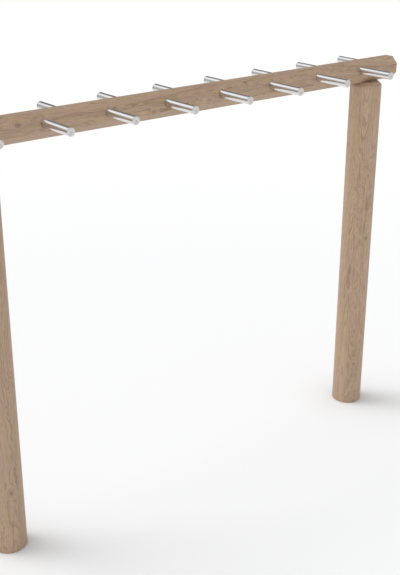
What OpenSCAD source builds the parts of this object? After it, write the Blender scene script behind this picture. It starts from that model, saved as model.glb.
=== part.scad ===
// Overhead peg beam for a playground: two round timber posts carry an eight-sided timber beam,
// and steel pegs stand out of both sides of it, for crossing hand over hand.
// Millimetres. The origin is on the ground midway between the posts, +X runs along the beam,
// +Y away from the viewer and +Z up. The near row of pegs is on the -Y side.

/* [Beam] */
// Width of the eight-sided beam across its flats
beam_af = 123; // [114:1:150]
// Width of the planed-off edge between two flats
beam_arris = 3; // [1:0.5:6]
// How far each post's axis stands in from the beam's end
post_inset = 186; // [120:2:260]

/* [Posts] */
// Diameter of a post
post_d = 180; // [160:1:220]
// Height of a post, from the ground to the seat of the beam
post_h = 2055; // [1500:5:2400]
// Bevel around the top of a post
post_bevel = 20; // [8:1:25]
// Bevel around the foot of a post
foot_bevel = 4; // [1:1:10]

/* [Pegs] */
// Number of pegs on each side of the beam
pegs_per_side = 8; // [2:1:10]
// Distance between two pegs of one side
peg_pitch = 340; // [280:5:400]
// Distance from the beam's left end to the first near peg
first_margin = 165; // [90:1:240]
// Distance from the last far peg to the beam's right end
last_margin = 123; // [90:1:240]
// Outer diameter of a peg's tube
peg_d = 40; // [32:1:44]
// Wall of a peg's tube
peg_wall = 2; // [1.5:0.5:4]
// Free length of a peg, from the beam's side flat to the outer face of its cap
peg_out = 213.5; // [150:0.5:300]
// Height of the pegs' axes above the beam's axis
peg_rise = 15.5; // [0:0.5:16]

/* [End caps] */
// Thickness of a cap's flange
cap_t = 6; // [4:0.5:10]
// How far a cap's rim stands proud of the tube
cap_lip = 0.6; // [0.2:0.1:2]
// Radius of a cap's outer edge
cap_round = 2.4; // [1:0.2:3]
// Length of the spigot inside the tube
spigot_len = 18; // [8:1:40]
// Bore left in the spigot
spigot_bore = 26; // [10:1:26]
// Diameter of the turning mark in the middle of a cap
mark_d = 7; // [5:0.5:12]
// Depth of the turning mark
mark_depth = 1; // [0.5:0.1:2]

/* [Locking screws] */
// Shank diameter of the screw that locks a peg
lock_d = 6; // [5:0.5:8]
// Head diameter
lock_head_d = 10; // [9:0.5:12]
// Head height
lock_head_h = 6; // [4:0.5:8]
// Distance from a tube's inner end to its locking screw
lock_setback = 8; // [6:0.5:12]
// How far a head lies above the beam's bottom flat
lock_sink = 4; // [1:0.5:8]
// How far a screw reaches past the tube's wall
lock_reach = 3; // [1:0.5:6]
// Width across flats of the hexagon socket
lock_socket_af = 5; // [3:0.5:6]
// Depth of the hexagon socket
lock_socket_depth = 3; // [2:0.5:3.5]

/* [Coach screws] */
// Shank diameter of the screws that hold the beam on a post
coach_d = 12; // [8:1:16]
// Length of a screw inside the post
coach_grip = 155; // [80:5:220]
// Length of a screw's point
coach_point = 12; // [6:1:20]
// Diameter of the point's blunt tip
coach_tip_d = 3; // [1:0.5:5]
// Width across flats of a screw's hexagon head
coach_head_af = 19; // [17:1:24]
// Height of a screw's head
coach_head_h = 8; // [5:0.5:10]
// Distance between the two screws of one post
coach_pitch = 80; // [50:2:100]
// Outer diameter of a washer
washer_d = 30; // [28:1:34]
// Thickness of a washer
washer_t = 2.5; // [1.5:0.5:3]
// Space between a screw's head and its cover plug
plug_gap = 0.5; // [0.2:0.1:2]
// Chamfer around a cover plug's top
plug_chamfer = 0.8; // [0.3:0.1:1.5]

/* [Foot anchors] */
// Diameter of the anchor bore in a post's foot
anchor_d = 22; // [16:1:30]
// Depth of the anchor bore
anchor_depth = 160; // [80:5:300]

/* [Fits] */
// Wood left between the bores of the pegs and the holes of the coach screws
bore_web = 3.6; // [2:0.2:8]
// Radial clearance of a tube in its bore
tube_fit = 0.15; // [0.1:0.05:0.4]
// Radial clearance of a cap's spigot in the tube
spigot_fit = 0.1; // [0.05:0.05:0.4]
// Radial clearance of a screw in its hole
screw_fit = 0.2; // [0.1:0.05:0.6]
// Radial clearance of a washer in its counterbore
washer_fit = 1.5; // [0.5:0.1:3]
// Radial clearance of a cover plug in its counterbore
plug_fit = 0.1; // [0.05:0.05:0.3]
// Radial clearance of a locking screw's head in its counterbore
lock_head_fit = 0.5; // [0.2:0.1:1]

/* [Hidden] */
$fn = 64;
post_facets = 96;
arc_step = 18;
cut = 1;
near = -1;
far = 1;
peg_numbers = [1 : pegs_per_side];

// Lengths and heights of the whole frame
peg_stagger = peg_pitch / 2;
beam_len = first_margin + (pegs_per_side - 1) * peg_pitch + peg_stagger + last_margin;
post_x = beam_len / 2 - post_inset;
beam_r = beam_af / 2;
beam_z = post_h + beam_r;

// Pegs: distances along a peg are measured from the beam's middle plane
peg_z = beam_z + peg_rise;
peg_reach = beam_r + peg_out;
tube_start = coach_d / 2 + screw_fit + bore_web;
tube_len = peg_reach - cap_t - tube_start;
tube_bore_d = peg_d - 2 * peg_wall;

// Locking screws: heights are measured up from the beam's bottom flat
lock_y = tube_start + lock_setback;
lock_seat = lock_sink + lock_head_h;
lock_len = beam_r + peg_rise - peg_d / 2 + peg_wall + lock_reach - lock_seat;
lock_socket_d = lock_socket_af / cos(30);

// Coach screws: heights are measured up from the beam's axis
washer_seat = peg_rise + peg_d / 2 + tube_fit + bore_web;
head_seat = washer_seat + washer_t;
plug_seat = head_seat + coach_head_h + plug_gap;
plug_t = beam_r - plug_seat;
plug_bore_d = washer_d + 2 * washer_fit;
coach_len = head_seat + beam_r + coach_grip;
coach_head_d = coach_head_af / cos(30);
coach_hole_d = coach_d + 2 * screw_fit;

pale_wood = [0.66, 0.57, 0.47];
plug_wood = [0.60, 0.50, 0.40];
polished_steel = [0.80, 0.81, 0.82];
satin_steel = [0.70, 0.71, 0.72];
zinc = [0.62, 0.64, 0.66];

// Place of a peg along the beam, counted from the left end
function peg_x(side, i) =
    -beam_len / 2 + first_margin + (i - 1) * peg_pitch + (side == far ? peg_stagger : 0);

function turned(p, a) = [p[0] * cos(a) - p[1] * sin(a), p[0] * sin(a) + p[1] * cos(a)];

// Corners of an eight-sided section with its edges planed off and one flat facing up
function octagon(r, arris) =
    let (half_flat = r * tan(22.5) - arris / 2 / cos(22.5))
    [for (a = [0 : 45 : 315], s = [-1, 1]) turned([r, s * half_flat], a)];

// Points of a quarter circle about a centre, from +X to +Y
function quarter(centre, r) = [for (a = [0 : arc_step : 90]) centre + r * [cos(a), sin(a)]];

// Puts a child at one peg, with its +Z pointing out of the beam
module at_peg(side, i) {
    translate([peg_x(side, i), 0, peg_z])
        rotate([-side * 90, 0, 0])
            children();
}

// Puts a child at one locking screw, on the beam's bottom flat
module at_lock_screw(side, i) {
    translate([peg_x(side, i), side * lock_y, post_h])
        children();
}

// Puts a child at each coach screw, on the beam's axis
module at_coach_screws() {
    for (x = [-post_x, post_x], dx = [-1, 1] * coach_pitch / 2)
        translate([x + dx, 0, beam_z])
            children();
}

// Blind bore for one peg, open at the side flat
module peg_bore() {
    translate([0, 0, tube_start])
        cylinder(d = peg_d + 2 * tube_fit, h = beam_r - tube_start + cut);
}

// Hole and counterbore for one locking screw
module lock_hole() {
    translate([0, 0, -cut])
        cylinder(d = lock_head_d + 2 * lock_head_fit, h = lock_seat + cut);
    cylinder(d = lock_d + 2 * screw_fit, h = lock_seat + lock_len);
}

// Hole and counterbore for one coach screw
module coach_hole() {
    translate([0, 0, -beam_r - cut])
        cylinder(d = coach_hole_d, h = 2 * beam_r + 2 * cut);
    translate([0, 0, washer_seat])
        cylinder(d = plug_bore_d, h = beam_r - washer_seat + cut);
}

module beam() {
    color(pale_wood)
        difference() {
            translate([-beam_len / 2, 0, beam_z])
                rotate([90, 0, 90])
                    linear_extrude(height = beam_len)
                        polygon(octagon(beam_r, beam_arris));
            for (side = [near, far], i = peg_numbers) {
                at_peg(side, i) peg_bore();
                at_lock_screw(side, i) lock_hole();
            }
            at_coach_screws() coach_hole();
        }
}

// One post, with holes for its two coach screws and a bore in its foot
module post(x) {
    r = post_d / 2;
    hole_len = coach_grip + screw_fit;
    color(pale_wood)
        difference() {
            translate([x, 0, 0])
                rotate_extrude($fn = post_facets)
                    polygon([
                        [0, 0], [r - foot_bevel, 0], [r, foot_bevel],
                        [r, post_h - post_bevel], [r - post_bevel, post_h], [0, post_h]
                    ]);
            for (dx = [-1, 1] * coach_pitch / 2)
                translate([x + dx, 0, post_h - hole_len])
                    cylinder(d = coach_hole_d, h = hole_len + cut);
            translate([x, 0, -cut])
                cylinder(d = anchor_d, h = anchor_depth + cut);
        }
}

// Tube of one peg, seated on the floor of its bore and drilled for its locking screw
module peg(side, i) {
    color(polished_steel)
        difference() {
            at_peg(side, i)
                translate([0, 0, tube_start])
                    difference() {
                        cylinder(d = peg_d, h = tube_len);
                        translate([0, 0, -cut])
                            cylinder(d = tube_bore_d, h = tube_len + 2 * cut);
                    }
            at_lock_screw(side, i) lock_hole();
        }
}

// End cap with a rounded rim, a spigot inside the tube and a turning mark on its face
module cap(side, i) {
    rim_r = peg_d / 2 + cap_lip;
    spigot_r = tube_bore_d / 2 - spigot_fit;
    mark_r = mark_d / 2;
    color(satin_steel)
        at_peg(side, i)
            translate([0, 0, tube_start + tube_len])
                rotate_extrude()
                    polygon(concat(
                        [[0, 0], [spigot_bore / 2, 0], [spigot_bore / 2, -spigot_len],
                         [spigot_r, -spigot_len], [spigot_r, 0], [rim_r, 0]],
                        quarter([rim_r - cap_round, cap_t - cap_round], cap_round),
                        [[mark_r, cap_t], [mark_r - mark_depth, cap_t - mark_depth],
                         [0, cap_t - mark_depth]]
                    ));
}

// Socket screws of one side, heads down in the beam's bottom flat
module lock_screws(side) {
    color(zinc)
        for (i = peg_numbers)
            at_lock_screw(side, i)
                difference() {
                    union() {
                        translate([0, 0, lock_sink])
                            cylinder(d = lock_head_d, h = lock_head_h);
                        translate([0, 0, lock_seat])
                            cylinder(d = lock_d, h = lock_len);
                    }
                    translate([0, 0, lock_sink - cut])
                        cylinder(d = lock_socket_d, h = lock_socket_depth + cut, $fn = 6);
                }
}

module coach_screws() {
    color(zinc)
        at_coach_screws()
            translate([0, 0, head_seat]) {
                cylinder(d = coach_head_d, h = coach_head_h, $fn = 6);
                translate([0, 0, coach_point - coach_len])
                    cylinder(d = coach_d, h = coach_len - coach_point);
                translate([0, 0, -coach_len])
                    cylinder(d1 = coach_tip_d, d2 = coach_d, h = coach_point);
            }
}

module coach_washers() {
    color(zinc)
        at_coach_screws()
            translate([0, 0, washer_seat])
                difference() {
                    cylinder(d = washer_d, h = washer_t);
                    translate([0, 0, -cut])
                        cylinder(d = coach_hole_d, h = washer_t + 2 * cut);
                }
}

// Wooden plugs over the coach screws, flush with the beam's top flat
module cover_plugs() {
    r = plug_bore_d / 2 - plug_fit;
    color(plug_wood)
        at_coach_screws()
            translate([0, 0, plug_seat])
                rotate_extrude()
                    polygon([
                        [0, 0], [r, 0], [r, plug_t - plug_chamfer],
                        [r - plug_chamfer, plug_t], [0, plug_t]
                    ]);
}

beam();
post(-post_x);  // post_left
post(post_x);  // post_right
for (i = peg_numbers) {
    peg(near, i);
    peg(far, i);
    cap(near, i);
    cap(far, i);
}
lock_screws(near);  // near_lock_screws
lock_screws(far);  // far_lock_screws
coach_screws();
coach_washers();
cover_plugs();
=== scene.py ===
# %% [markdown]
# # An overhead peg beam
# Two round timber posts carry an eight-sided timber beam, and sixteen polished steel pegs stand out
# of its sides. Somebody hangs from the pegs and crosses hand over hand. The measured model of the
# part is loaded first, as a fixed frame. Every new piece takes its size and place from it, so
# nothing has to be fitted by eye.

# %% Load the frame
import math

import bpy
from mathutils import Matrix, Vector


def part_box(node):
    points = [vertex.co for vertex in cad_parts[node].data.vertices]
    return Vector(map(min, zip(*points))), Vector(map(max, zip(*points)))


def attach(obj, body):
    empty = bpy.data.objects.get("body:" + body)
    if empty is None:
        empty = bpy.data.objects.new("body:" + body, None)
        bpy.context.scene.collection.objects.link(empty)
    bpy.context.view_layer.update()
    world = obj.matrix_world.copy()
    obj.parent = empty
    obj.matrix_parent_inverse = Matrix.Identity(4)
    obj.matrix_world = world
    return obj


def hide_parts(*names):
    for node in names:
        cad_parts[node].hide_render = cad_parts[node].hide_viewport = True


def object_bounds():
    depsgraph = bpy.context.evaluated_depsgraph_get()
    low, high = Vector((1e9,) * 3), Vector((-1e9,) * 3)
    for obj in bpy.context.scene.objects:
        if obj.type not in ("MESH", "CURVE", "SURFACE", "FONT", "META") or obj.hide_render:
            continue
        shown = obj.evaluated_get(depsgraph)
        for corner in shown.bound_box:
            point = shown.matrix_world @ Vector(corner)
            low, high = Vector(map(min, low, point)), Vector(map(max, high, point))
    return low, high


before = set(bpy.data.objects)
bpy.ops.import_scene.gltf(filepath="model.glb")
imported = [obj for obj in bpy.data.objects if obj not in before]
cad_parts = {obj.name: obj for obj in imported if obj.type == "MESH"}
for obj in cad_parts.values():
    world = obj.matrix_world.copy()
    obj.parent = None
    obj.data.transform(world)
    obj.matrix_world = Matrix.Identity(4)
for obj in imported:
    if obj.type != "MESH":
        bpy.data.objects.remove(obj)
measured_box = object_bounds()
extent = [round(v, 3) for v in measured_box[1] - measured_box[0]]
print("frame:", len(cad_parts), "nodes,", extent, "m")

# %% [markdown]
# ## Sizes
# Lengths are in metres. Most of them are read from the boxes of the measured pieces. Later cells
# write out the few that a box doesn't give, such as edges, walls, holes and sockets.

# %% Read the sizes
beam_low, beam_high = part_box("beam")
beam_length = beam_high.x - beam_low.x
beam_flats = beam_high.y - beam_low.y
beam_height = (beam_high.z + beam_low.z) / 2
post_low, post_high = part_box("post_right")
post_radius = (post_high.x - post_low.x) / 2
post_place = (post_high.x + post_low.x) / 2
post_top = post_high.z


def peg_facts(side):
    """Where one side's row of pegs starts, its pitch, and how far its tubes and caps reach."""
    first_low, first_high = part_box(side + "_peg_1")
    next_low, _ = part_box(side + "_peg_2")
    cap_low, cap_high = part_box(side + "_cap_1")
    along = sorted(abs(v) for v in (first_low.y, first_high.y))
    cap_along = sorted(abs(v) for v in (cap_low.y, cap_high.y))
    return {
        "sign": 1 if first_high.y > 0 else -1,
        "first": (first_low.x + first_high.x) / 2,
        "pitch": next_low.x - first_low.x,
        "height": (first_low.z + first_high.z) / 2,
        "radius": (first_high.z - first_low.z) / 2,
        "start": along[0],
        "end": along[1],
        "cap_radius": (cap_high.z - cap_low.z) / 2,
        "spigot_end": cap_along[0],
        "reach": cap_along[1],
    }


rows = {side: peg_facts(side) for side in ("near", "far")}
pegs_per_side = sum(name.startswith("near_peg_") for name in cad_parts)
print("beam", round(beam_length, 3), "m long")
print("pegs", pegs_per_side, "a side,", round(rows["near"]["pitch"], 3), "m apart")

# %% [markdown]
# ## Camera
# The photograph is taken from the front left, about a metre above the beam, with a longish lens.
# The camera comes early, because every other choice is judged through it.

# %% Set up the camera
camera_place = (-3.0967, -3.8703, 3.1463)
looks_down = 0.3935
looks_right = 0.6765
lens_length = 62.27
film_width = 36

camera = bpy.data.objects.new("camera", bpy.data.cameras.new("camera"))
bpy.context.scene.collection.objects.link(camera)
camera.location = camera_place
camera.rotation_euler = (math.pi / 2 - looks_down, 0, -looks_right)
camera.data.lens = lens_length
camera.data.sensor_width = film_width
bpy.context.scene.camera = camera
bpy.context.scene.view_settings.view_transform = "Standard"
print("camera looks down by", round(math.degrees(looks_down), 1), "degrees")

# %% [markdown]
# ## Two helpers for node trees
# A material or a shape is a tree of nodes. Written out one node at a time, a tree is long and hard
# to read. Value wraps a socket, so that a sum of values adds the Math nodes by itself. Graph adds
# every other node.

# %% Wrap a socket


def pick(sockets, key):
    """A socket by its number or its name, among those that the node's settings leave in use."""
    in_use = [s for s in sockets if s.enabled]
    if isinstance(key, int):
        return in_use[key]
    return next(s for s in in_use if key in (s.name, s.identifier))


class Value:
    """A socket that can stand in a sum."""

    def __init__(self, graph, socket):
        self.graph = graph
        self.socket = socket

    def maths(self, operation, *others):
        """One Math node that works on this value."""
        return self.graph.node("ShaderNodeMath", {"operation": operation}, (self, *others))

    def __add__(self, other):
        return self.maths("ADD", other)

    __radd__ = __add__

    def __mul__(self, other):
        return self.maths("MULTIPLY", other)

    __rmul__ = __mul__

    def __sub__(self, other):
        return self.maths("SUBTRACT", other)

    def __rsub__(self, other):
        return self.graph.node("ShaderNodeMath", {"operation": "SUBTRACT"}, (other, self))

    def __truediv__(self, other):
        return self.maths("DIVIDE", other)

    def __rtruediv__(self, other):
        return self.graph.node("ShaderNodeMath", {"operation": "DIVIDE"}, (other, self))

    def __mod__(self, other):
        return self.maths("FLOORED_MODULO", other)

    def __pow__(self, other):
        return self.maths("POWER", other)

    def clamp(self):
        """The value, held between 0 and 1."""
        return self.graph.node("ShaderNodeClamp", None, (self, 0.0, 1.0))

    def rise(self, low, high):
        """0 below low, 1 above high, and a soft step between them."""
        settings = {"interpolation_type": "SMOOTHSTEP"}
        return self.graph.node("ShaderNodeMapRange", settings, (self, low, high, 0.0, 1.0))


print("values can be added, multiplied and divided")

# %% Add nodes to a tree


class Graph:
    """A node tree, and the one way that nodes get into it."""

    def __init__(self, tree):
        self.tree = tree

    def node(self, kind, settings=None, sockets=(), out=0):
        """Adds a node: its settings first, then the values or links of its sockets."""
        made = self.tree.nodes.new(kind)
        for name, value in (settings or {}).items():
            setattr(made, name, value)
        pairs = sockets.items() if isinstance(sockets, dict) else enumerate(sockets)
        for key, value in pairs:
            socket = pick(made.inputs, key)
            if isinstance(value, Value):
                self.tree.links.new(value.socket, socket)
            elif socket.type == "RGBA":
                socket.default_value = (*value, 1)
            else:
                socket.default_value = value
        return Value(self, pick(made.outputs, out)) if made.outputs else made

    def parts(self, vector):
        """The three numbers in a vector."""
        first = self.node("ShaderNodeSeparateXYZ", None, (vector,))
        return [Value(self, socket) for socket in first.socket.node.outputs]

    def point(self, x, y, z):
        """A vector from three numbers."""
        return self.node("ShaderNodeCombineXYZ", None, (x, y, z))

    def blend(self, share, first, second):
        """A colour between two colours."""
        sockets = {"Factor": share, "A": first, "B": second}
        return self.node("ShaderNodeMix", {"data_type": "RGBA"}, sockets)

    def ray_is(self, kind):
        """1 for the rays of one kind, such as Camera or Glossy, and 0 for all others."""
        return self.node("ShaderNodeLightPath", out=f"Is {kind} Ray")


print("nodes can be added to a tree")

# %% [markdown]
# ## From a tree to a piece
# Geometry Nodes make every new piece of this part, because each one is turned, repeated or drawn
# along a line. A tree has one named input for each size. It runs once, and its result is kept as a
# plain mesh, which takes the place of the measured pieces.

# %% Make a piece from a tree
SOCKETS = {float: "NodeSocketFloat", int: "NodeSocketInt"}


def shape_tree(name, sizes):
    """An empty geometry tree with one named input for each size."""
    tree = bpy.data.node_groups.new(name, "GeometryNodeTree")
    for size, value in sizes.items():
        tree.interface.new_socket(size, in_out="INPUT", socket_type=SOCKETS[type(value)])
    tree.interface.new_socket("Shape", in_out="OUTPUT", socket_type="NodeSocketGeometry")
    graph = Graph(tree)
    entry = tree.nodes.new("NodeGroupInput")
    return graph, {size: Value(graph, entry.outputs[size]) for size in sizes}


def smooth(graph, shape, limit=25):
    """Shades a shape smooth, apart from the edges that turn by more degrees than the limit."""
    sockets = {"Geometry": shape, "Shade Smooth": True}
    shape = graph.node("GeometryNodeSetShadeSmooth", {"domain": "FACE"}, sockets)
    angle = graph.node("GeometryNodeInputMeshEdgeAngle")
    settings = {"operation": "GREATER_THAN"}
    sharp = graph.node("FunctionNodeCompare", settings, (angle, math.radians(limit)))
    sockets = {"Geometry": shape, "Selection": sharp, "Shade Smooth": False}
    return graph.node("GeometryNodeSetShadeSmooth", {"domain": "EDGE"}, sockets)


def finish_tree(graph, shape, material):
    """Ends a tree: real geometry in place of instances, then its material."""
    shape = graph.node("GeometryNodeRealizeInstances", None, {"Geometry": shape})
    sockets = {"Geometry": shape, "Material": material}
    shape = graph.node("GeometryNodeSetMaterial", None, sockets)
    graph.node("NodeGroupOutput", None, (shape,))


def make_piece(name, graph, sizes, nodes):
    """Runs a tree once with its sizes, keeps the mesh, and hides the measured nodes it replaces."""
    piece = bpy.data.objects.new(name, bpy.data.meshes.new(name))
    bpy.context.scene.collection.objects.link(piece)
    modifier = piece.modifiers.new("shape", "NODES")
    modifier.node_group = graph.tree
    for item in graph.tree.interface.items_tree:
        if item.in_out == "INPUT":
            modifier[item.identifier] = sizes[item.name]
    bpy.context.view_layer.update()
    depsgraph = bpy.context.evaluated_depsgraph_get()
    mesh = bpy.data.meshes.new_from_object(piece.evaluated_get(depsgraph))
    piece.modifiers.remove(modifier)
    piece.data = mesh
    mesh.name = name
    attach(piece, "root")
    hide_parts(*nodes)
    print(name, "has", len(mesh.polygons), "faces and stands for", len(nodes), "nodes")


print("trees can be made into pieces")

# %% [markdown]
# ## A turned shape
# Posts, tubes, caps and screws are all turned: one profile goes round an axis. A flat grid can do
# this. Its columns become the steps round the axis and its rows become the points of the profile,
# and then the two edges are joined. The profile is a list of radii and heights, and a row number
# picks its place in it.

# %% Turn a profile
seam_gap = 1e-6


def at_row(row, stops):
    """The stop at a row number, on a straight line from one stop to the next."""
    total = stops[0]
    for number, (this, following) in enumerate(zip(stops, stops[1:])):
        total = total + (following - this) * (row - number).clamp()
    return total


def turned(graph, facets, profile):
    """A closed shape round Z. The profile takes the angle and gives its radii and heights."""
    across, up, _ = graph.parts(graph.node("GeometryNodeInputPosition"))
    angle = (across + 0.5) * (2 * math.pi)
    radii, heights = profile(angle)
    grid = graph.node("GeometryNodeMeshGrid", None, (1.0, 1.0, facets + 1, len(radii)))
    row = (up + 0.5) * (len(radii) - 1)
    radius = at_row(row, radii)
    x = radius * angle.maths("COSINE")
    y = radius * angle.maths("SINE")
    place = graph.point(x, y, at_row(row, heights))
    shape = graph.node("GeometryNodeSetPosition", None, {"Geometry": grid, "Position": place})
    sockets = {"Geometry": shape, "Distance": seam_gap}
    return graph.node("GeometryNodeMergeByDistance", None, sockets)


print("profiles can be turned")

# %% [markdown]
# ## Timber
# The real wood is a pale softwood, dried and left bare. What the eye reads as wood comes from the
# growth rings of the log. So the material works in three dimensions: it measures how far each
# point is from the log's pith, and the rings, streaks, knots and cracks follow from that. Flat
# faces, turned faces and end grain then agree by themselves.

# %% Find the place in the log


def empty_material(name):
    """A material without nodes, and its graph."""
    material = bpy.data.materials.new(name)
    material.use_nodes = True
    material.node_tree.nodes.clear()
    return material, Graph(material.node_tree)


def finish_material(material, graph, **sockets):
    """Ends a material with the standard shader. A socket's name has _ for each space."""
    sockets = {key.replace("_", " "): value for key, value in sockets.items()}
    shader = graph.node("ShaderNodeBsdfPrincipled", None, sockets)
    graph.node("ShaderNodeOutputMaterial", None, {"Surface": shader})
    return material


class Log:
    """Where each point lies: how far along the log, and how far from the pith on two axes."""

    def __init__(self, graph, grain, pith, seed):
        x, y, z = graph.parts(graph.node("ShaderNodeTexCoord", out="Object"))
        along, side, up = (x, y, z) if grain == "X" else (z, x, y)
        self.graph = graph
        self.seed = seed
        self.along = along + seed
        self.side = side - pith[0]
        self.up = up - pith[1]

    def drawn(self, length, width, detail=2.0, out=0, shift=0.0):
        """Noise with marks of this length along the grain and this width across it."""
        place = self.graph.point(self.along / length + shift, self.side / width, self.up / width)
        sockets = {"Vector": place, "Scale": 1.0, "Detail": detail}
        return self.graph.node("ShaderNodeTexNoise", None, sockets, out)

    def line_out(self, turn):
        """How far a point is along a line that runs out from the pith, and how far beside it."""
        outwards = self.side * math.cos(turn) + self.up * math.sin(turn)
        beside = self.side * math.sin(turn) - self.up * math.cos(turn)
        return outwards, beside


print("points can be placed in a log")

# %% [markdown]
# ### Knots and cracks
# A branch runs from the pith outwards, so a knot is a round spot where it meets the surface, and
# the log's rings swell round it. Timber dries first at its ends, and splits there on lines that
# run out from the pith. A crack is widest at the bark and at the end, and it closes within a
# hand's width.

# %% Grow the knots and open the cracks
out_of_reach = 9.0
knot_squeeze = 0.6
knot_tremble = 0.00006
swell_fall = 0.22
crack_width = 0.0009
crack_length = 0.07
crack_opening = 0.05
crack_drift = 0.030
crack_tremble = 0.005
uneven_length = 0.06
hairline = 0.00001


def knots_in(log, tremble, knots):
    """The distance to the nearest branch, as a share of its size, and the swelling of the rings."""
    gap = log.along * 0 + out_of_reach
    swell = log.along * 0
    for place, turn, size in knots:
        ahead = log.along - (place + log.seed)
        outwards, beside = log.line_out(turn)
        # A branch grows on one side of the pith only
        behind = 1 - outwards.rise(0.0, 0.02)
        squares = ahead * ahead * knot_squeeze + beside * beside + (tremble - 0.5) * knot_tremble
        here = squares ** 0.5 / size + behind * out_of_reach
        gap = gap.maths("MINIMUM", here)
        swell = swell + (here * here * -swell_fall).maths("EXPONENT") * size
    return gap, swell


def cracks_in(log, slow, quick, curl, ends, cracks):
    """1 inside a crack and 0 outside. Three noises let the cracks drift and end unevenly."""
    from_low = log.along - (ends[0] + log.seed)
    from_high = (ends[1] + log.seed) - log.along
    from_end = from_low.maths("MINIMUM", from_high) + (quick - 0.5) * uneven_length
    near_end = 1 - from_end.rise(0.0, crack_length)
    split = log.along * 0
    for turn, start in cracks:
        outwards, beside = log.line_out(turn)
        off = beside + (slow - 0.5) * crack_drift + (curl - 0.5) * crack_tremble
        open_share = (outwards - start).rise(0.0, crack_opening) * near_end
        width = open_share * crack_width + hairline
        here = 1 - (off.maths("ABSOLUTE") / width).rise(0.6, 1.3)
        split = split.maths("MAXIMUM", here)
    return split


print("knots and cracks can be placed in a log")

# %% [markdown]
# ### The mix
# One function mixes all the timber. Its noises are stretched along the grain, and each is named
# for the mark it makes. The shares in the mix were set against the photograph, and then in close
# views, where grain that is too bold shows first.

# %% Mix the timber
shades = {
    "early": (0.455, 0.320, 0.214),
    "late": (0.264, 0.170, 0.106),
    "pink": (0.408, 0.259, 0.216),
    "olive": (0.397, 0.305, 0.163),
    "knot": (0.150, 0.088, 0.052),
    # The crack shade is painted shade: the shadow inside the cracks' narrow gaps.
    "crack": (0.070, 0.045, 0.030),
}
ring_pitch = 0.0025
ring_wander = 0.060
ring_tremble = 0.0075
ring_curl = 0.008
ring_swell = 1.6
grain_relief = 0.0004


def timber(name, grain, pith, seed, tone, knots=(), ends=(0.0, 0.0), cracks=()):
    """Bare softwood with its grain along X or Z, and its log's pith at a place across the grain."""
    material, graph = empty_material(name)
    log = Log(graph, grain, pith, seed)

    # A log is never quite straight: its rings wander slowly, tremble, and curl here and there
    slow = graph.parts(log.drawn(0.8, 0.10, detail=0.5, out="Color"))
    quick = graph.parts(log.drawn(0.12, 0.030, detail=1.5, out="Color", shift=7.0))
    curl = graph.parts(log.drawn(0.035, 0.020, detail=1.0, out="Color", shift=37.0))
    curly = log.drawn(0.50, 0.05, detail=0.0, shift=41.0).rise(0.50, 0.64) * ring_curl

    def bent(straight, axis):
        """One distance from the pith, in the bent log."""
        far = straight + (slow[axis] - 0.5) * ring_wander + (quick[axis] - 0.5) * ring_tremble
        return far + (curl[axis] - 0.5) * curly

    bent_side = bent(log.side, 0)
    bent_up = bent(log.up, 1)
    from_pith = (bent_side * bent_side + bent_up * bent_up) ** 0.5

    gap, swell = knots_in(log, quick[2], knots)
    heart = 1 - gap.rise(0.70, 1.0)
    bark = gap.rise(0.60, 0.85) * (1 - gap.rise(0.92, 1.15))
    knot_ring = (gap * 5.0 + quick[0] * 2.0) % 1.0
    split = cracks_in(log, slow[2], quick[1], curl[0], ends, cracks)

    # A year's ring is pale at first, darkens slowly and ends sharply, and no two years are alike
    rings = (from_pith + swell * ring_swell) / ring_pitch
    ring = rings % 1.0
    late = ring.rise(0.25, 0.90) * (1 - ring.rise(0.92, 1.0))
    in_line = {"noise_dimensions": "1D"}
    year = graph.node("ShaderNodeTexWhiteNoise", in_line, (rings.maths("FLOOR"),))
    sockets = {"W": rings * 0.22, "Scale": 1.0, "Detail": 2.0}
    band = graph.node("ShaderNodeTexNoise", in_line, sockets)

    streak = log.drawn(0.18, 0.0040, detail=4.0)
    fleck = log.drawn(0.034, 0.0042, detail=4.0, shift=17.0)
    fibre = log.drawn(0.040, 0.0011, detail=3.0, shift=3.0)
    pores = log.drawn(0.009, 0.0006, detail=1.0, shift=5.0).rise(0.62, 0.74)
    patch = log.drawn(0.40, 0.05, detail=1.0, shift=11.0)
    blotch = log.drawn(0.045, 0.012, detail=3.0, shift=47.0)
    hue = log.drawn(0.22, 0.015, detail=3.0, shift=23.0)

    dark = 0.08 + late * (0.25 + year * 0.75) * 1.05 + (band - 0.5) * 0.85
    dark = dark + (streak - 0.5) * 1.2 + (fleck - 0.5) * 1.7
    colour = graph.blend(dark.clamp(), shades["early"], shades["late"])
    colour = graph.blend(hue.rise(0.46, 0.64) * 0.40, colour, shades["pink"])
    colour = graph.blend((1 - hue.rise(0.34, 0.50)) * 0.35, colour, shades["olive"])
    knotted = heart * (0.26 + knot_ring * 0.18) + bark * 0.24
    colour = graph.blend(knotted, colour, shades["knot"])
    # Cracks are painted nearly black: painted shade in their gaps, which the shallow bump alone
    # would not cast.
    colour = graph.blend(split * 0.85, colour, shades["crack"])
    level = tone + (patch - 0.5) * 0.12 + (blotch - 0.5) * 0.22 + (fibre - 0.5) * 0.40
    sockets = {"Vector": colour, "Scale": level - pores * 0.12}
    colour = graph.node("ShaderNodeVectorMath", {"operation": "SCALE"}, sockets)

    height = fibre * 0.5 - pores * 0.6 + late * 0.35 - heart * 0.3 - split * 1.5
    sockets = {"Strength": 0.35, "Distance": grain_relief, "Height": height}
    bump = graph.node("ShaderNodeBump", None, sockets)
    rough = 0.50 + (fibre - 0.5) * 0.25 - late * 0.06 - heart * 0.08
    return finish_material(material, graph, Base_Color=colour, Roughness=rough, Normal=bump)


print("timber can be mixed from", len(shades), "shades")

# %% [markdown]
# ### Three logs
# The beam and the two posts are cut from different logs, so each has its pith, knots and cracks in
# other places. A knot is its place along the log, the way its branch points and its size. A crack
# is the way it points and how far from the pith it starts. Turns are in radians.

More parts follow.
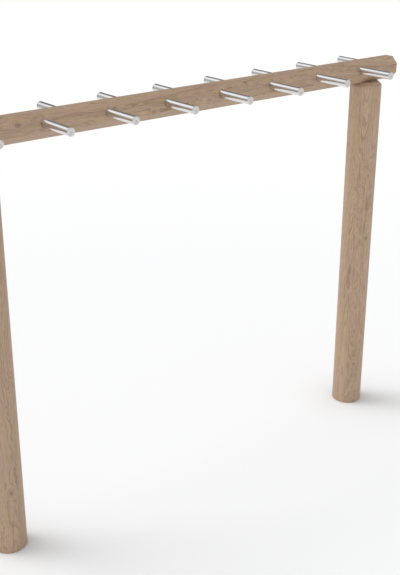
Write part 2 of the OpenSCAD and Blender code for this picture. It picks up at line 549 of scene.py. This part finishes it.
# %% Choose the logs
beam_timber = timber(
    "beam_timber", "X", pith=(0.075, 2.06), seed=3.1, tone=1.03,
    knots=[
        (-1.05, 2.6, 0.011), (-0.32, 2.9, 0.008), (0.38, 2.2, 0.012), (0.93, 3.0, 0.010),
        (1.30, 1.4, 0.012),
    ],
    ends=(beam_low.x, beam_high.x),
    cracks=[(2.05, 0.060), (2.60, 0.070), (3.02, 0.075)],
)
left_timber = timber(
    "left_post_timber", "Z", pith=(-post_place + 0.02, 0.045), seed=12.4, tone=1.00,
    knots=[(0.35, 4.5, 0.010), (0.92, 5.0, 0.012), (1.48, 4.0, 0.009), (1.80, 1.2, 0.012)],
    ends=(0.0, post_top),
    cracks=[(0.9, 0.005), (2.4, 0.010), (3.9, 0.020), (4.6, 0.030), (5.6, 0.020)],
)
right_timber = timber(
    "right_post_timber", "Z", pith=(post_place + 0.03, 0.040), seed=27.9, tone=1.08,
    knots=[
        (0.28, 4.2, 0.009), (0.66, 4.9, 0.012), (1.12, 4.4, 0.010), (1.55, 5.1, 0.011),
        (1.20, 0.8, 0.012),
    ],
    ends=(0.0, post_top),
    cracks=[(1.3, 0.005), (2.9, 0.010), (4.2, 0.025), (4.9, 0.030), (5.9, 0.020)],
)
print("timber mixed for the beam and two posts")

# %% [markdown]
# ## Beam
# The beam is planed to eight sides, with its edges just eased so that hands don't catch on them.
# An eight-point circle with filleted corners, drawn along a line, gives the timber. The holes for
# the pegs, the locking screws and the coach screws' plugs are then cut out of it. Each kind of
# hole is one turned cutter, copied to its places.

# %% Prepare lines, copies and cutters
past_surface = 0.004


def line_of(graph, count, start, offset):
    """Points on a straight line."""
    sockets = {"Count": count, "Start Location": start, "Offset": offset}
    return graph.node("GeometryNodeMeshLine", None, sockets)


def both_sides(graph, reach, height=0.0):
    """Two points, one as far left of the middle as the other is right of it."""
    start = graph.point(reach * -1, 0.0, height)
    return line_of(graph, 2, start, graph.point(reach * 2, 0.0, 0.0))


def copies(graph, shape, points, turn=(0.0, 0.0, 0.0)):
    """The shape at each point, as real geometry."""
    sockets = {"Points": points, "Instance": shape, "Rotation": turn}
    made = graph.node("GeometryNodeInstanceOnPoints", None, sockets)
    return graph.node("GeometryNodeRealizeInstances", None, {"Geometry": made})


def drill(radius, floor, surface, ease):
    """A profile that cuts a blind hole with an eased mouth, measured from the work's middle."""
    top = surface + past_surface
    radii = [0.0, radius, radius, radius + ease + past_surface, 0.0]
    return lambda angle: (radii, [floor, floor, surface - ease, top, top])


print("cutters can be made and copied")

# %% Plane the beam
beam_sides = 8
beam_arris = 0.0035
arris_points = 3
end_ease = 0.0010
hole_ease = 0.0010
tube_room = 0.0004
lock_hole_radius = 0.0055
lock_hole_depth = 0.010
plug_hole_radius = 0.0165
lock_low, lock_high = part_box("far_lock_screws")
plug_low, plug_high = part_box("cover_plugs")
washer_low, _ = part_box("coach_washers")
plug_radius = plug_high.y
plug_pair = plug_high.x - plug_radius - post_place

beam_sizes = {
    "Length": beam_length,
    "Across flats": beam_flats,
    "Arris radius": beam_arris,
    "End ease": end_ease,
    "Axis height": beam_height,
    "Pegs": pegs_per_side,
    "Pitch": rows["near"]["pitch"],
    "Near start": rows["near"]["first"],
    "Far start": rows["far"]["first"],
    "Peg height": rows["near"]["height"],
    "Bore radius": rows["near"]["radius"] + tube_room,
    "Bore floor": rows["near"]["start"],
    "Hole ease": hole_ease,
    "Lock place": (lock_low.y + lock_high.y) / 2,
    "Lock hole radius": lock_hole_radius,
    "Lock depth": lock_hole_depth,
    "Post place": post_place,
    "Plug hole radius": plug_hole_radius,
    "Plug pair": plug_pair,
    "Plug depth": beam_high.z - washer_low.z,
}
graph, size = shape_tree("beam", beam_sizes)

half = size["Across flats"] / 2
corner = half / math.cos(math.pi / beam_sides)
sockets = {"Resolution": beam_sides, "Radius": 1.0}
section = graph.node("GeometryNodeCurvePrimitiveCircle", {"mode": "RADIUS"}, sockets)
half_side = (0.0, 0.0, math.pi / beam_sides)
sockets = {"Geometry": section, "Rotation": half_side, "Scale": (1.0, 1.0, 1.0)}
section = graph.node("GeometryNodeTransform", None, sockets)
sockets = {"Geometry": section, "Scale": graph.point(corner, corner, 1.0)}
section = graph.node("GeometryNodeTransform", None, sockets)
sockets = {"Curve": section, "Count": arris_points, "Radius": size["Arris radius"]}
section = graph.node("GeometryNodeFilletCurve", {"mode": "POLY"}, sockets)

number = graph.node("GeometryNodeInputIndex")
far_end = size["Length"] / 2
before_end = far_end - size["End ease"]
reach = at_row(number, [far_end * -1, size["End ease"] - far_end, before_end, far_end])
end_girth = 1 - size["End ease"] / half
girth = at_row(number, [end_girth, 1.0, 1.0, end_girth])
line = line_of(graph, 4, (0.0, 0.0, 0.0), (1.0, 0.0, 0.0))
sockets = {"Geometry": line, "Position": graph.point(reach, 0.0, size["Axis height"])}
line = graph.node("GeometryNodeSetPosition", None, sockets)
path = graph.node("GeometryNodeMeshToCurve", None, {"Mesh": line})
sockets = {"Curve": path, "Profile Curve": section, "Scale": girth, "Fill Caps": True}
blank = graph.node("GeometryNodeCurveToMesh", None, sockets)
print("beam planed to", beam_sides, "sides")

# %% Bore the beam
round_facets = 64
small_facets = 32
cut_gap = 1e-5
flat_limit = 6.5
upside_down = (math.pi, 0.0, 0.0)

bore = drill(size["Bore radius"], size["Bore floor"], half, size["Hole ease"])
bore = turned(graph, round_facets, bore)
lock_floor = half - size["Lock depth"]
lock_hole = drill(size["Lock hole radius"], lock_floor, half, size["Hole ease"])
lock_hole = turned(graph, small_facets, lock_hole)
plug_floor = half - size["Plug depth"]
plug_hole = drill(size["Plug hole radius"], plug_floor, half, size["Hole ease"])
plug_hole = turned(graph, round_facets, plug_hole)

step = graph.point(size["Pitch"], 0.0, 0.0)
bores = []
lock_holes = []
for side, sign in (("Near", -1), ("Far", 1)):
    first = size[side + " start"]
    middles = line_of(graph, size["Pegs"], graph.point(first, 0.0, size["Peg height"]), step)
    bores.append(copies(graph, bore, middles, (-sign * math.pi / 2, 0.0, 0.0)))
    below = graph.point(first, size["Lock place"] * sign, size["Axis height"])
    lock_line = line_of(graph, size["Pegs"], below, step)
    lock_holes.append(copies(graph, lock_hole, lock_line, upside_down))
pair = both_sides(graph, size["Plug pair"])
posts = both_sides(graph, size["Post place"], size["Axis height"])
plug_holes = copies(graph, plug_hole, copies(graph, pair, posts))

solid = blank
for cutter in (*bores, *lock_holes, plug_holes):
    sockets = {"Mesh 1": solid, "Mesh 2": cutter}
    solid = graph.node("GeometryNodeMeshBoolean", {"operation": "DIFFERENCE"}, sockets)
sockets = {"Geometry": solid, "Distance": cut_gap}
solid = graph.node("GeometryNodeMergeByDistance", None, sockets)
finish_tree(graph, smooth(graph, solid, flat_limit), beam_timber)
make_piece("beam_planed", graph, beam_sizes, ["beam"])

# %% [markdown]
# ## Posts
# Each post is a log turned to one diameter. A broad bevel round its top sheds water, and a small
# one at its foot keeps the edge from splitting. The two corners of the top bevel are softened.
# Each of them has extra points just before and after it, which hold the smooth shading of the flat
# parts away from the corner.

# %% Turn the posts
post_facets = 96
post_sizes = {
    "Radius": post_radius,
    "Height": post_top,
    "Top bevel": 0.020,
    "Foot bevel": 0.004,
    "Corner": 0.0035,
    "Place": post_place,
}


def post_profile(size):
    """Radii and heights of a post, from the middle of its foot to the middle of its top."""
    radius, height, soft = size["Radius"], size["Height"], size["Corner"]
    top, foot = size["Top bevel"], size["Foot bevel"]
    # Pairs of a radius and a height: the foot, the bevel's lower corner, its upper one, and the top
    steps = [(0.0, 0.0), (radius - foot, 0.0), (radius, foot)]
    steps += [(radius, height - top - soft * k) for k in (1.5, 1.0)]
    steps += [(radius - soft * 0.20, height - top)]
    steps += [(radius - soft * k, height - top + soft * k) for k in (0.7, 1.0, 1.4)]
    steps += [(radius - top + soft * k, height - soft * k) for k in (1.4, 1.0, 0.7)]
    steps += [(radius - top, height - soft * 0.20)]
    steps += [(radius - top - soft * k, height) for k in (1.0, 1.5)]
    steps += [(0.0, height)]
    return lambda angle: tuple(zip(*steps))


both_posts = (("left", -post_place, left_timber), ("right", post_place, right_timber))
for side, place, material in both_posts:
    graph, size = shape_tree(side + " post", post_sizes)
    shape = turned(graph, post_facets, post_profile(size))
    sockets = {"Geometry": shape, "Translation": graph.point(size["Place"], 0.0, 0.0)}
    shape = graph.node("GeometryNodeTransform", None, sockets)
    finish_tree(graph, smooth(graph, shape), material)
    sizes = {**post_sizes, "Place": place}
    make_piece(side + "_post_turned", graph, sizes, ["post_" + side])

# %% [markdown]
# ## Steel finishes
# The pegs are polished steel tube. Polishing goes round the tube, so its faint marks do too. The
# end caps are faced on a lathe, which leaves fine rings round their middle. The hidden screws are
# zinc plated, and look duller.

# %% Mix the steels
mark_radius = 0.0035
cap_flat_edge = 0.0170
cap_rim_start = 0.0195
lathe_rings = 2200
zinc_crystals = 900.0


def polished_steel(name):
    """Steel tube, polished round and round, with its axis along Y."""
    material, graph = empty_material(name)
    x, y, z = graph.parts(graph.node("ShaderNodeTexCoord", out="Object"))

    def marks(across, along):
        """Noise that changes so many times a metre across the tube and along it."""
        place = graph.point(x * across, y * along, z * across)
        sockets = {"Vector": place, "Scale": 1.0, "Detail": 2.0}
        return graph.node("ShaderNodeTexNoise", None, sockets)

    scratches = marks(across=40, along=2600)
    smears = marks(across=60, along=35)
    rough = 0.13 + (scratches - 0.5) * 0.10 + smears.rise(0.45, 0.75) * 0.06
    sockets = {"Strength": 0.12, "Distance": 0.00003, "Height": scratches}
    bump = graph.node("ShaderNodeBump", None, sockets)
    colour = graph.blend(smears, (0.80, 0.80, 0.80), (0.74, 0.745, 0.75))
    return finish_material(
        material, graph, Base_Color=colour, Metallic=1.0, Roughness=rough, Normal=bump
    )


def faced_steel(name, first, pitch, height):
    """Steel faced on a lathe, with rings round the middle of each cap."""
    material, graph = empty_material(name)
    x, _, z = graph.parts(graph.node("ShaderNodeTexCoord", out="Object"))
    across = (x - (first - pitch / 2)) % pitch - pitch / 2
    up = z - height
    radius = (across * across + up * up) ** 0.5
    sockets = {"W": radius * lathe_rings, "Detail": 1.0, "Scale": 1.0}
    rings = graph.node("ShaderNodeTexNoise", {"noise_dimensions": "1D"}, sockets)
    rough = 0.30 + (rings - 0.5) * 0.12
    sockets = {"Strength": 0.25, "Distance": 0.00005, "Height": rings}
    bump = graph.node("ShaderNodeBump", None, sockets)
    # The base colour turns lighter towards the rim: a painted highlight of the rounded rim.
    edge = radius.rise(cap_flat_edge, cap_rim_start)
    colour = graph.blend(edge, (0.72, 0.705, 0.70), (0.78, 0.775, 0.775))
    # The centre mark is painted dark: painted shade in its shallow hollow.
    dimple_shade = 1 - radius.rise(mark_radius * 0.8, mark_radius * 1.1)
    colour = graph.blend(dimple_shade * 0.6, colour, (0.30, 0.30, 0.31))
    return finish_material(
        material, graph, Base_Color=colour, Metallic=1.0, Roughness=rough, Normal=bump
    )


def zinc_plate(name):
    """Zinc plating, with the faint blotches of its crystals."""
    material, graph = empty_material(name)
    spot = graph.node("ShaderNodeTexCoord", out="Object")
    sockets = {"Vector": spot, "Scale": zinc_crystals}
    grey, _, _ = graph.parts(graph.node("ShaderNodeTexVoronoi", None, sockets, out="Color"))
    colour = graph.blend(grey, (0.50, 0.52, 0.55), (0.62, 0.64, 0.66))
    rough = 0.38 + (grey - 0.5) * 0.12
    return finish_material(material, graph, Base_Color=colour, Metallic=1.0, Roughness=rough)


tube_steel = polished_steel("tube_steel")
cap_steel = {
    side: faced_steel(side + "_cap_steel", row["first"], row["pitch"], row["height"])
    for side, row in rows.items()
}
zinc = zinc_plate("zinc_plate")
print("steels mixed")

# %% [markdown]
# ## Pegs, end caps and locking screws
# One tube, one cap and one screw are turned, and each is copied along its row. The two sides
# differ only in where the row starts and which way the pegs point. The screw's hexagon socket is
# turned too: its radius changes with the angle, as far as the flats of a hexagon are from its
# middle.

# %% Draw the profiles
rim_shoulder = 0.0003
screw_ease = 0.0006
drill_point = 0.0007


def tube_profile(size):
    """A tube with slightly eased ends, from its inner edge out and back again."""
    radius, ease = size["Radius"], size["Ease"]
    start, end = size["Start"], size["End"]
    bore = radius - size["Wall"]
    radii = [bore, radius - ease, radius, radius, radius - ease, bore, bore]
    heights = [start, start, start + ease, end - ease, end, end, start]
    return lambda angle: (radii, heights)


def cap_profile(size):
    """A cap with its spigot, a rounded rim and a centre mark."""
    base, face, rim, soft = size["Tube end"], size["Face"], size["Radius"], size["Round"]
    arc = [math.radians(a) for a in (0, 22.5, 45, 67.5, 90)]
    radii = [0.0, size["Spigot"], size["Spigot"], rim]
    radii += [rim - soft * (1 - math.cos(a)) for a in arc]
    radii += [rim - soft - rim_shoulder, size["Mark"], 0.0]
    heights = [size["Spigot end"], size["Spigot end"], base, base]
    heights += [face - soft * (1 - math.sin(a)) for a in arc]
    heights += [face, face, face - size["Mark depth"]]
    return lambda angle: (radii, heights)


def screw_profile(size):
    """A socket screw seen from its head, with a six-sided hole."""
    shank, head = size["Shank"], size["Head"]
    tip, neck, face = size["Tip"], size["Head base"], size["Face"]
    floor = face - size["Socket depth"]

    def profile(angle):
        sixth = (angle + math.pi / 6) % (math.pi / 3) - math.pi / 6
        flats = size["Socket"] / 2 / sixth.maths("COSINE")
        radii = [0.0, shank, shank, head, head, head - screw_ease, flats, flats, 0.0]
        heights = [tip, tip, neck, neck, face - screw_ease, face, face, floor, floor - drill_point]
        return radii, heights

    return profile


print("profiles drawn for a tube, a cap and a screw")

# %% Turn the pegs and their fittings
tube_wall = 0.002
tube_ease = 0.0004
spigot_room = 0.0001
cap_round = 0.0024
mark_depth = 0.001
shank_radius = 0.003
head_length = 0.006
socket_flats = 0.005
socket_depth = 0.003
screw_facets = 36


def row_of(name, sizes, profile, facets, row, turn, material, nodes):
    """Turns one shape and copies it along a row of pegs."""
    sizes = {**sizes, "Pegs": pegs_per_side, "First": row["first"], "Pitch": row["pitch"]}
    graph, size = shape_tree(name.replace("_", " "), sizes)
    shape = turned(graph, facets, profile(size))
    start = graph.point(size["First"], size["Side"], size["Level"])
    points = line_of(graph, size["Pegs"], start, graph.point(size["Pitch"], 0.0, 0.0))
    finish_tree(graph, smooth(graph, copies(graph, shape, points, turn)), material)
    make_piece(name, graph, sizes, nodes)


for side, row in rows.items():
    outwards = (-row["sign"] * math.pi / 2, 0.0, 0.0)
    numbers = range(1, pegs_per_side + 1)
    tube_sizes = {
        "Side": 0.0,
        "Level": row["height"],
        "Radius": row["radius"],
        "Wall": tube_wall,
        "Ease": tube_ease,
        "Start": row["start"],
        "End": row["end"],
    }
    row_of(
        side + "_tubes", tube_sizes, tube_profile, round_facets, row, outwards, tube_steel,
        [f"{side}_peg_{i}" for i in numbers],
    )
    cap_sizes = {
        "Side": 0.0,
        "Level": row["height"],
        "Radius": row["cap_radius"],
        "Spigot": row["radius"] - tube_wall - spigot_room,
        "Spigot end": row["spigot_end"],
        "Tube end": row["end"],
        "Face": row["reach"],
        "Round": cap_round,
        "Mark": mark_radius,
        "Mark depth": mark_depth,
    }
    row_of(
        side + "_end_caps", cap_sizes, cap_profile, round_facets, row, outwards, cap_steel[side],
        [f"{side}_cap_{i}" for i in numbers],
    )
    screw_low, screw_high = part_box(side + "_lock_screws")
    screw_sizes = {
        "Side": (screw_low.y + screw_high.y) / 2,
        "Level": 0.0,
        "Shank": shank_radius,
        "Head": (screw_high.y - screw_low.y) / 2,
        "Tip": -screw_high.z,
        "Head base": -screw_low.z - head_length,
        "Face": -screw_low.z,
        "Socket": socket_flats,
        "Socket depth": socket_depth,
    }
    row_of(
        side + "_socket_screws", screw_sizes, screw_profile, screw_facets, row, upside_down, zinc,
        [side + "_lock_screws"],
    )

# %% [markdown]
# ## Cover plugs
# Four wooden plugs close the holes of the screws that hold the beam on its posts. They are cut so
# that their grain follows the beam's, so they take the same timber with its pith in another place.
# The screws and washers under them are never seen, so the measured ones stay, with the zinc
# finish.

# %% Fit the plugs
plug_timber = timber("plug_timber", "X", pith=(0.21, 1.95), seed=44.2, tone=0.90)
plug_sizes = {
    "Radius": plug_radius,
    "Bottom": plug_low.z,
    "Top": plug_high.z,
    "Chamfer": 0.0008,
    "Post place": post_place,
    "Plug pair": plug_pair,
}
graph, size = shape_tree("cover plugs", plug_sizes)
radii = [0.0, size["Radius"], size["Radius"], size["Radius"] - size["Chamfer"], 0.0]
heights = [size["Bottom"], size["Bottom"], size["Top"] - size["Chamfer"], size["Top"], size["Top"]]
plug = turned(graph, round_facets, lambda angle: (radii, heights))
pair = both_sides(graph, size["Plug pair"])
posts = both_sides(graph, size["Post place"])
finish_tree(graph, smooth(graph, copies(graph, plug, copies(graph, pair, posts))), plug_timber)
make_piece("plugs_turned", graph, plug_sizes, ["cover_plugs"])
for name in ("coach_screws", "coach_washers"):
    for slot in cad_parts[name].material_slots:
        slot.material = zinc
print("plugs fitted")

# %% [markdown]
# ## Studio
# The photograph is a plain white studio shot, in which the floor and the backdrop run into one
# white. The posts throw narrow shadows to the right, and the beam hardly throws one. So the light
# works like one tall strip light: two soft lamps, one above the other. The camera sees white
# wherever there is no object. The steel sees something else, as it would in a real studio: soft
# boxes in front and behind, a bright floor, and a darker corner at the back on the right.

# %% Light the studio
world = bpy.data.worlds.new("studio")
world.use_nodes = True
world.node_tree.nodes.clear()
bpy.context.scene.world = world
graph = Graph(world.node_tree)
east, north, lift = graph.parts(graph.node("ShaderNodeTexCoord", out="Generated"))
seen = graph.ray_is("Camera")
mirrored = graph.ray_is("Glossy")

# The room that the steel mirrors: its level, and what each thing in it adds or takes
room_level, box_gain, corner_loss, ground_gain = 0.50, 0.62, 0.36, 0.32
front_or_back = north.maths("ABSOLUTE")
soft_box = (front_or_back * 0.715 + lift * 0.643 - east * 0.275).rise(0.915, 0.985)
dark_corner = (north * 0.74 + east * 0.66 + lift * 0.10).rise(0.72, 0.92)
low_front = (north * -1).rise(0.0, 0.3) * (1 - lift.rise(-0.1, 0.1))
ground = (1 - lift.rise(-0.42, -0.34)).maths("MAXIMUM", low_front)
room = room_level + soft_box * box_gain - dark_corner * corner_loss + ground * ground_gain

# The plain light for everything else: stronger from the camera's side, weaker from straight above
plain_level, front_gain, top_loss = 0.84, 0.22, 0.38
front = (east * -0.626 - north * 0.780).rise(-0.1, 0.8) * (1 - lift.rise(0.3, 0.8))
plain = plain_level + front * front_gain - lift.rise(0.45, 0.85) * top_loss
strength = seen + (1 - seen) * (mirrored * room + (1 - mirrored) * plain)
sockets = {"Color": (1.0, 1.0, 1.0), "Strength": strength}
sky = graph.node("ShaderNodeBackground", None, sockets)
graph.node("ShaderNodeOutputWorld", None, {"Surface": sky})

lamp_width = math.radians(32)
lamp_heading = (0.646, -0.763)
for name, power, degrees_up in (("upper_lamp", 0.62, 72), ("lower_lamp", 0.84, 46)):
    lamp = bpy.data.objects.new(name, bpy.data.lights.new(name, "SUN"))
    bpy.context.scene.collection.objects.link(lamp)
    lamp.data.energy = power
    lamp.data.angle = lamp_width
    lamp.visible_glossy = False
    flat = math.cos(math.radians(degrees_up))
    fall = math.sin(math.radians(degrees_up))
    towards = Vector((lamp_heading[0] * flat, lamp_heading[1] * flat, -fall))
    lamp.rotation_euler = towards.to_track_quat("-Z", "Y").to_euler()
print("studio lit")

# %% [markdown]
# ## Floor
# The floor is a pale disc round the object. It shows the object's shadow, and it turns fully white
# before its edge, so that the edge can't be seen. An ambient occlusion node darkens it a little
# close to the feet, where a real floor gets less light. The floor is only part of the studio, so
# this shade never gets onto the object.

# %% Lay the floor
floor_radius = 7.0
floor_facets = 96
white_starts, white_ends = 3.0, 6.5
contact_reach = 0.30
contact_share = 0.24

turns = [2 * math.pi * i / floor_facets for i in range(floor_facets)]
ring = [(math.cos(turn) * floor_radius, math.sin(turn) * floor_radius, 0) for turn in turns]
floor_mesh = bpy.data.meshes.new("studio_floor")
floor_mesh.from_pydata(ring, [], [list(range(floor_facets))])
floor = bpy.data.objects.new("studio_floor", floor_mesh)
bpy.context.scene.collection.objects.link(floor)

material, graph = empty_material("studio_floor")
x, y, _ = graph.parts(graph.node("ShaderNodeTexCoord", out="Object"))
distance = (x * x + y * y) ** 0.5
seen = graph.ray_is("Camera")
fade = distance.rise(white_starts, white_ends) * seen
sockets = {"Distance": contact_reach}
clear = graph.node("ShaderNodeAmbientOcclusion", {"samples": 16}, sockets, out="AO")
pale = graph.blend((1 - clear) * contact_share, (0.950, 0.955, 0.962), (0.0, 0.0, 0.0))
colour = graph.blend(seen, (0.90, 0.90, 0.90), pale)
paint = graph.node("ShaderNodeBsdfDiffuse", None, {"Color": colour})
sockets = {"Color": (1.0, 1.0, 1.0), "Strength": 1.0}
white = graph.node("ShaderNodeEmission", None, sockets)
surface = graph.node("ShaderNodeMixShader", None, (fade, paint, white))
graph.node("ShaderNodeOutputMaterial", None, {"Surface": surface})
floor_mesh.materials.append(material)
print("floor laid")
